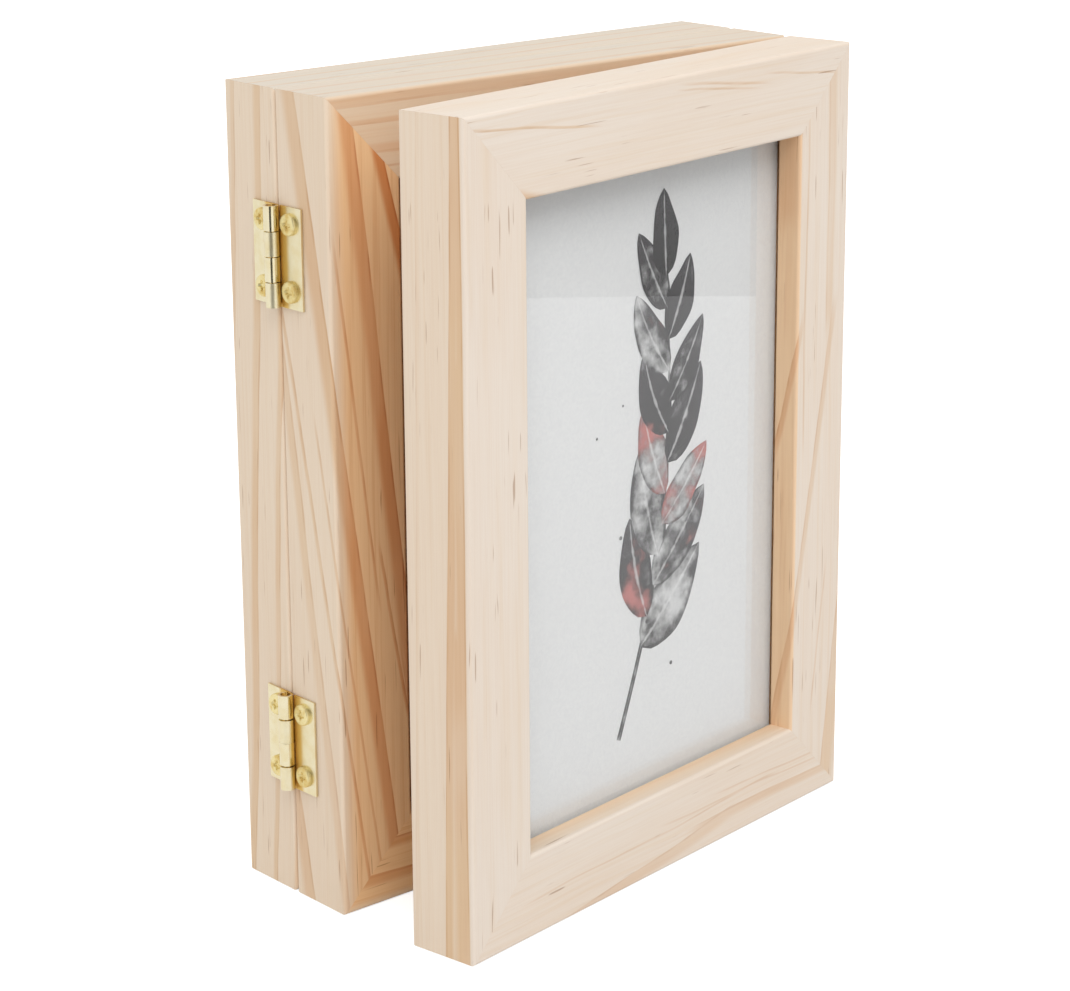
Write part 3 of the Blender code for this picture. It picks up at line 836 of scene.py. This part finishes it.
def build_sprig(label):
    """A watercolour sprig on a print: a stem, leaves on both sides and a few splashes."""
    sprig = SPRIGS[label]
    draw = random.Random(sprig["seed"])
    shape = bmesh.new()
    layers = (shape.verts.layers.float_vector.new("stroke"), shape.verts.layers.float.new("blush"))
    middle = (PRINT_HIGH.z + PRINT_LOW.z) / 2
    front = PRINT_LOW.y - STACK_PITCH
    strokes = 0

    def place_at(order):
        """A function that places a stroke just in front of the ones before it."""
        lift = PAINT_LIFT + PAINT_STEP * order
        return lambda x, z: (x, front - lift, middle + z)

    stem = [stem_point(sprig, row / LEAF_ROWS) for row in range(LEAF_ROWS + 1)]
    foot_width, tip_width = STEM_HALF_WIDTHS
    widths = [foot_width + (tip_width - foot_width) * row / LEAF_ROWS for row in range(LEAF_ROWS + 1)]
    paint_stroke(shape, layers, stem, widths, STEM_PAINT, STEM_RAGGED_SHARE, place_at(strokes))
    for number in range(sprig["leaves"]):
        last = number == sprig["leaves"] - 1
        first = sprig["first_share"]
        share = 1.0 if last else first + (1 - first) * number / (sprig["leaves"] - 1)
        base = stem_point(sprig, share)
        rise = base - stem_point(sprig, share - RISE_STEP_SHARE)
        side = 1 if number % 2 else -1
        turn = 0 if last else side * math.radians(sprig["spread"] + draw.uniform(-SPREAD_SWING, SPREAD_SWING))
        length = sprig["long"] + (sprig["short"] - sprig["long"]) * share
        length += draw.uniform(-LENGTH_SWING, LENGTH_SWING)
        heading = math.atan2(rise.y, rise.x) + turn
        bend = BEND_SHARE * turn + draw.uniform(-BEND_SWING, BEND_SWING)
        spine = leaf_spine(base, heading, length, bend)
        breadth = sprig["breadth_share"] * draw.uniform(*BREADTH_SHARES)
        widths = [leaf_half_width(row / LEAF_ROWS, length, breadth) for row in range(LEAF_ROWS + 1)]
        paint = (draw.choice(WASHES), draw.choice(BLUSHES), draw.uniform(*PHASES))
        strokes += 1
        paint_stroke(shape, layers, spine, widths, paint, LEAF_RAGGED_SHARE, place_at(strokes))
    for _ in range(SPLASHES):
        spot = Vector([draw.uniform(*reach) for reach in SPLASH_REACH])
        size = draw.uniform(*SPLASH_SIZES)
        rises = [2 * row / LEAF_ROWS - 1 for row in range(LEAF_ROWS + 1)]
        spine = [spot + Vector((0, size * rise)) for rise in rises]
        widths = [size * math.sqrt(max(0.02, 1 - rise**2)) for rise in rises]
        strokes += 1
        paint = (SPLASH_WASH, 0.0, draw.uniform(*PHASES))
        paint_stroke(shape, layers, spine, widths, paint, SPLASH_RAGGED_SHARE, place_at(strokes))
    painting = object_from(f"{label}_print_sprig", shape, "paint", FRAME_SPACE[label], smooth=False)
    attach(painting, f"{label}_frame")


def build_print(label):
    """A sheet of art paper."""
    size = PRINT_HIGH - PRINT_LOW
    middle = (PRINT_HIGH + PRINT_LOW) / 2 - Vector((0, STACK_PITCH, 0))
    shape = bmesh.new()
    bmesh.ops.create_cube(shape, size=1.0, matrix=Matrix.Translation(middle) @ Matrix.Diagonal((*size, 1.0)))
    sheet = object_from(f"{label}_print_paper", shape, "paper", FRAME_SPACE[label], smooth=False)
    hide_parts(f"{label}_print")
    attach(sheet, f"{label}_frame")


def dress_node(name, material):
    """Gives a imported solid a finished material."""
    node = frame["nodes"][name]
    node.data.materials.clear()
    node.data.materials.append(MATERIALS[material])


def out_of_round(x, y, flat):
    """A point of a roll's outside, drawn in where the sheet was rolled flatter. flat is 1 or -1."""
    share = 1 - ROLL_FLATNESS_SHARE * (1 + flat * math.cos(4 * math.atan2(y, x))) / 2
    return x * share, y * share


def leaf_strip(flat):
    """The outline of a rolled leaf that reaches towards +Y: plate, outer roll, slit and bore."""
    bore = PIN_RADIUS + BORE_MARGIN
    meeting = math.acos(OUTER_FACE / KNUCKLE_RADIUS)
    roll_end = meeting + ROLL_SLIT - 2 * HALF_TURN
    return [
        (KNUCKLE_RADIUS + PLATE_LEAN, LEAF_REACH),
        *[out_of_round(x, y, flat) for x, y in arc((0, 0), KNUCKLE_RADIUS, 0, roll_end, ROLL_STEPS)],
        *arc((0, 0), bore, roll_end, 0, ROLL_STEPS),
        (OUTER_FACE, KNUCKLE_RADIUS * math.sin(meeting)),
        (OUTER_FACE + PLATE_LEAN, LEAF_REACH),
    ]


def knuckle_edges(number):
    """The z of a knuckle's lower and upper side, counted from the top, in hinge space."""
    pitch = HINGE_LENGTH / KNUCKLE_COUNT
    top = HINGE_LENGTH / 2 - number * pitch
    return top - pitch, top


def build_leaf(name, material, direction, first_knuckle, place, lift):
    """One hinge leaf with two rolled knuckles and cut-outs for the other leaf's."""
    outline = leaf_strip(ROLL_FLATS[material])
    shape = bmesh.new()
    half = HINGE_LENGTH / 2
    base = shape.faces.new([shape.verts.new((x, direction * y, -half)) for x, y in outline])
    extrude(shape, [base], (0, 0, HINGE_LENGTH))
    leaf = object_from(f"{name}_brass", shape, material)
    cutters = []
    reach = KNUCKLE_RADIUS + KNUCKLE_GAP
    meeting = math.sqrt(KNUCKLE_RADIUS**2 - OUTER_FACE**2)
    notch_edges = sorted((-direction * reach, direction * (meeting + KNUCKLE_GAP)))
    for number in range(KNUCKLE_COUNT):
        if number % 2 == first_knuckle:
            continue
        low, high = knuckle_edges(number)
        low = low - KNUCKLE_GAP / 2 if number < KNUCKLE_COUNT - 1 else low - CUT_OVERRUN
        high = high + KNUCKLE_GAP / 2 if number > 0 else high + CUT_OVERRUN
        boxes = [
            ("roll", (-reach, -reach, low), (OUTER_FACE, reach, high)),
            ("plate", (0, notch_edges[0], low), (reach, notch_edges[1], high)),
        ]
        for part, low_corner, high_corner in boxes:
            cutters.append(box_object(f"{name}_{part}_notch_{number}", low_corner, high_corner))
            subtract(leaf, cutters[-1])
    soften = leaf.modifiers.new("edges", "BEVEL")
    soften.width = LEAF_EDGE
    soften.segments = LEAF_EDGE_STEPS
    soften.limit_method = "ANGLE"
    soften.angle_limit = LEAF_EDGE_ANGLE
    apply_modifiers(leaf)
    for cutter in cutters:
        bpy.data.objects.remove(cutter)
    polish(leaf)
    set_vectors(leaf.data, "hinge", [vertex.co.copy() for vertex in leaf.data.vertices])
    leaf.data.transform(place @ Matrix.Translation((0, 0, lift)))
    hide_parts(name)
    return leaf


def box_object(name, low, high):
    """A plain box that only cuts."""
    shape = bmesh.new()
    size = Vector(high) - Vector(low)
    middle = (Vector(high) + Vector(low)) / 2
    bmesh.ops.create_cube(shape, size=1.0, matrix=Matrix.Translation(middle) @ Matrix.Diagonal((*size, 1.0)))
    return object_from(name, shape, "pin", smooth=False)


def lathe(name, profile, material, steps):
    """Turns a profile of (radius, height) round the Z axis into a closed body."""
    shape = bmesh.new()
    rings = []
    for radius, height in profile:
        if radius == 0:
            rings.append([shape.verts.new((0, 0, height))] * steps)
            continue
        turns = [2 * HALF_TURN * step / steps for step in range(steps)]
        rings.append([shape.verts.new((radius * math.cos(a), radius * math.sin(a), height)) for a in turns])
    for upper, lower in zip(rings, rings[1:]):
        for step in range(steps):
            following = (step + 1) % steps
            corners = [upper[step], upper[following], lower[following], lower[step]]
            shape.faces.new(list(dict.fromkeys(corners)))
    return object_from(name, shape, material)


# The pan head's outline, as shares of the head's radius and height
HEAD_SHARES = ((0, 0.97), (0.6, 0.985), (0.8, 1), (0.89, 0.97), (0.95, 0.87), (0.985, 0.7), (1, 0.5), (1, 0))
RECESS_ARM_SHARE = 0.62
RECESS_WIDTH_SHARE = 0.17
RECESS_FLOOR_SHARE = 0.55
RECESS_DEPTH_SHARE = 0.5
RECESS_CORNER_SHARE = 1.5
RECESS_TOP_SHARE = 1.2


def recess_cutter(name, radius, height):
    """A cross that narrows downwards."""
    arm = radius * RECESS_ARM_SHARE
    wing = radius * RECESS_WIDTH_SHARE
    corner = wing * RECESS_CORNER_SHARE
    quadrant = [(arm, -wing), (arm, wing), (corner, corner)]
    outline = []
    for turn in range(4):
        across, up = math.cos(turn * QUARTER_TURN), math.sin(turn * QUARTER_TURN)
        for x, y in quadrant:
            outline.append((x * across - y * up, x * up + y * across))
    shape = bmesh.new()
    floor = height * (1 - RECESS_DEPTH_SHARE)
    narrow = RECESS_FLOOR_SHARE
    top = [shape.verts.new((x, y, height * RECESS_TOP_SHARE)) for x, y in outline]
    bottom = [shape.verts.new((x * narrow, y * narrow, floor)) for x, y in outline]
    close_between(shape, top, bottom)
    return object_from(name, shape, "screw", smooth=False)


def build_screw(name, place, turn, lean):
    """A pan-head screw with a cross recess, seated on its leaf."""
    seat = OUTER_FACE + PLATE_LEAN * SCREW_OFFSET / LEAF_REACH + HEAD_SINK
    profile = [(radius * HEAD_RADIUS, level * HEAD_HEIGHT) for radius, level in HEAD_SHARES]
    tip = HEAD_HEIGHT - SCREW_LENGTH
    profile += [(SHANK_RADIUS, 0), (SHANK_RADIUS, tip + SHANK_TIP), (0, tip)]
    screw = lathe(f"{name}_brass", profile, "screw", HEAD_STEPS)
    cutter = recess_cutter(f"{name}_recess", HEAD_RADIUS, HEAD_HEIGHT)
    subtract(screw, cutter)
    apply_modifiers(screw)
    bpy.data.objects.remove(cutter)
    polish(screw)
    spot = Matrix.Translation((seat, 0, 0)) @ Matrix.Rotation(-QUARTER_TURN, 4, "Y")
    turned = Matrix.Rotation(turn, 4, "Z") @ Matrix.Rotation(lean, 4, "X") @ Matrix.Rotation(-turn, 4, "Z")
    screw.data.transform(place @ spot @ turned)
    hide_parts(name)
    return screw


def build_pin(name, place):
    """A hinge pin with chamfered ends."""
    half = (PIN_HIGH.z - PIN_LOW.z) / 2
    small = PIN_RADIUS - PIN_CHAMFER
    side = half - PIN_CHAMFER
    profile = [(0, half), (small, half), (PIN_RADIUS, side), (PIN_RADIUS, -side), (small, -half), (0, -half)]
    pin = lathe(f"{name}_brass", profile, "pin", HEAD_STEPS)
    pin.data.transform(place)
    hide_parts(name)
    return pin


def build_hinge(fold, level, outer_label, axis, turn):
    """One butt hinge: two rolled leaves, the pin and four screws."""
    label = f"{fold}_{level}_hinge"
    low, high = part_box(f"{label}_pin")
    place = Matrix.Translation((axis.x, axis.y, (low.z + high.z) / 2)) @ turn
    ajar = Matrix.Rotation(AJAR, 4, "Z") if outer_label == "front" else Matrix()
    draw = random.Random(label)
    sides = [(outer_label, "outer_leaf", 1, 0), ("middle", "middle_leaf", -1, 1)]
    for frame_label, material, direction, first in sides:
        own = place @ ajar if frame_label == outer_label else place
        name = f"{label}_{frame_label}_leaf"
        leaf = build_leaf(name, material, direction, first, own, direction * LEAF_SLIPS[level])
        pieces = [leaf]
        for position, sign in (("top", 1), ("bottom", -1)):
            spot = own @ Matrix.Translation((0, direction * SCREW_OFFSET, sign * SCREW_SPREAD / 2))
            name = f"{label}_{frame_label}_screw_{position}"
            pieces.append(build_screw(name, spot, draw.uniform(0, QUARTER_TURN), draw.uniform(0, SCREW_LEAN)))
        if frame_label == "middle":
            pieces.append(build_pin(f"{label}_pin", place))
        for piece in pieces:
            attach(piece, f"{frame_label}_frame")


for rail_label in LABELS:
    for rail_side in SIDES:
        build_rail(rail_label, rail_side)
    build_print(rail_label)
    build_sprig(rail_label)
    dress_node(f"{rail_label}_glass", "glass")
    dress_node(f"{rail_label}_backing_board", "hardboard")

for hinge_level in ("upper", "lower"):
    build_hinge("left", hinge_level, "rear", LEFT_AXIS, Matrix())
    build_hinge("right", hinge_level, "front", RIGHT_AXIS, Matrix.Rotation(HALF_TURN, 4, "Z"))


# Studio
FLOOR_SIZE = 6.0
FLOOR_DROP = 0.2 * MM
FLOOR_ALBEDO = 0.7
FLOOR_GLOW = 0.75
REFLECTED_FLOOR_GLOW = 0.27
WORLD_LEVEL = 0.85
CARD_HEIGHT = 1.2
CARD_STEPS = 12
CARD_COLOURS = (colour(60, 58, 52), colour(76, 73, 66))
# Each card's direction from the front and its spread, in degrees, and its distance
CARDS = {"card_at_left": (-54, 34, 0.5), "card_at_right": (62, 44, 0.614)}
KEY_PLACE = (-0.526, -1.158, 1.547)
KEY_AIM = (0, 0, 0.08)
KEY_SIZE = 1.2
KEY_WATTS = 10.95


def seen_directly(nodes):
    """1 for rays that come from the camera, and 1 for those that come off metal or through glass."""
    path = nodes.add("ShaderNodeLightPath", {}).node
    reflected = nodes.math("MAXIMUM", path.outputs["Is Glossy Ray"], path.outputs["Is Transmission Ray"])
    return path.outputs["Is Camera Ray"], reflected


def build_world():
    """An even pale surround that the camera, metal and glass see as white."""
    world = bpy.data.worlds.new("studio")
    bpy.context.scene.world = world
    world.use_nodes = True
    nodes = Nodes(world.node_tree)
    background = world.node_tree.nodes["Background"]
    background.inputs["Color"].default_value = (1, 1, 1, 1)
    level = nodes.ramp(nodes.math("MAXIMUM", *seen_directly(nodes)), 0.0, 1.0, WORLD_LEVEL, 1.0)
    nodes.feed(background, "Strength", level)


def build_floor():
    """A pale floor that looks white, with the object's shadow on it."""
    shape = bmesh.new()
    bmesh.ops.create_grid(shape, x_segments=1, y_segments=1, size=FLOOR_SIZE / 2)
    bmesh.ops.translate(shape, vec=(0, 0, -FLOOR_DROP), verts=shape.verts)
    material, nodes, shader = new_material("studio_floor")
    MATERIALS["floor"] = material
    shader.inputs["Base Color"].default_value = (FLOOR_ALBEDO, FLOOR_ALBEDO, FLOOR_ALBEDO, 1)
    shader.inputs["Roughness"].default_value = 1.0
    shader.inputs["Specular IOR Level"].default_value = 0.0
    shader.inputs["Emission Color"].default_value = (1, 1, 1, 1)
    camera_ray, reflected_ray = seen_directly(nodes)
    glow = nodes.math("MULTIPLY", camera_ray, FLOOR_GLOW)
    glow = nodes.math("MULTIPLY_ADD", reflected_ray, REFLECTED_FLOOR_GLOW, glow)
    nodes.feed(shader, "Emission Strength", glow)
    floor = object_from("studio_floor", shape, "floor", smooth=False)


def build_card(name, azimuth, spread, reach):
    """A dark curved card that only metal and glass see. Angles are in degrees."""
    shape = bmesh.new()
    columns = []
    for step in range(CARD_STEPS + 1):
        angle = math.radians(azimuth + spread * (step / CARD_STEPS - 0.5))
        x, y = reach * math.sin(angle), -reach * math.cos(angle)
        columns.append([shape.verts.new((x, y, z)) for z in (0.0, CARD_HEIGHT)])
    for (low, high), (next_low, next_high) in zip(columns, columns[1:]):
        shape.faces.new((low, next_low, next_high, high))
    card = object_from(name, shape, "card", smooth=False)
    card.visible_camera = False
    card.visible_diffuse = False
    card.visible_shadow = False
    card.visible_transmission = False


def card_material():
    """A nearly black card."""
    material, nodes, shader = new_material("dark_card")
    spot = nodes.add("ShaderNodeTexCoord", {}, "Object")
    shade = nodes.mix(nodes.noise(spot, 6.0), *CARD_COLOURS)
    nodes.feed(shader, "Base Color", shade)
    shader.inputs["Roughness"].default_value = 0.9
    return material


def add_lamp(name, spot, aim, size, power):
    """A square soft lamp at a spot, aimed at a point."""
    data = bpy.data.lights.new(name, "AREA")
    data.size = size
    data.energy = power
    lamp = bpy.data.objects.new(name, data)
    bpy.context.scene.collection.objects.link(lamp)
    lamp.location = spot
    lamp.rotation_euler = (Vector(aim) - Vector(spot)).to_track_quat("-Z", "Y").to_euler()
    lamp.visible_camera = False
    lamp.visible_glossy = False


def build_camera():
    """The camera at the photograph's place."""
    back = Vector((
        math.sin(CAMERA_AZIMUTH) * math.cos(CAMERA_ELEVATION),
        -math.cos(CAMERA_AZIMUTH) * math.cos(CAMERA_ELEVATION),
        math.sin(CAMERA_ELEVATION),
    ))
    right = (-back).cross(Vector((0, 0, 1))).normalized()
    up = right.cross(-back)
    right_rolled = right * math.cos(CAMERA_ROLL) + up * math.sin(CAMERA_ROLL)
    up_rolled = up * math.cos(CAMERA_ROLL) - right * math.sin(CAMERA_ROLL)
    data = bpy.data.cameras.new("camera")
    data.sensor_width = SENSOR_WIDTH
    data.lens = FOCAL_PIXELS * SENSOR_WIDTH / PHOTO_WIDTH
    data.shift_y = (PRINCIPAL_ROW - PHOTO_HEIGHT / 2) / PHOTO_WIDTH
    data.clip_start = CLIP_START
    camera = bpy.data.objects.new("camera", data)
    bpy.context.scene.collection.objects.link(camera)
    place = Matrix((right_rolled, up_rolled, back)).transposed().to_4x4()
    place.translation = CAMERA_TARGET + back * CAMERA_DISTANCE
    camera.matrix_world = place
    bpy.context.scene.camera = camera


build_world()
build_floor()
MATERIALS["card"] = card_material()
for card_name, card_place in CARDS.items():
    build_card(card_name, *card_place)
add_lamp("key", KEY_PLACE, KEY_AIM, KEY_SIZE, KEY_WATTS)
build_camera()
bpy.context.scene.view_settings.view_transform = "Standard"
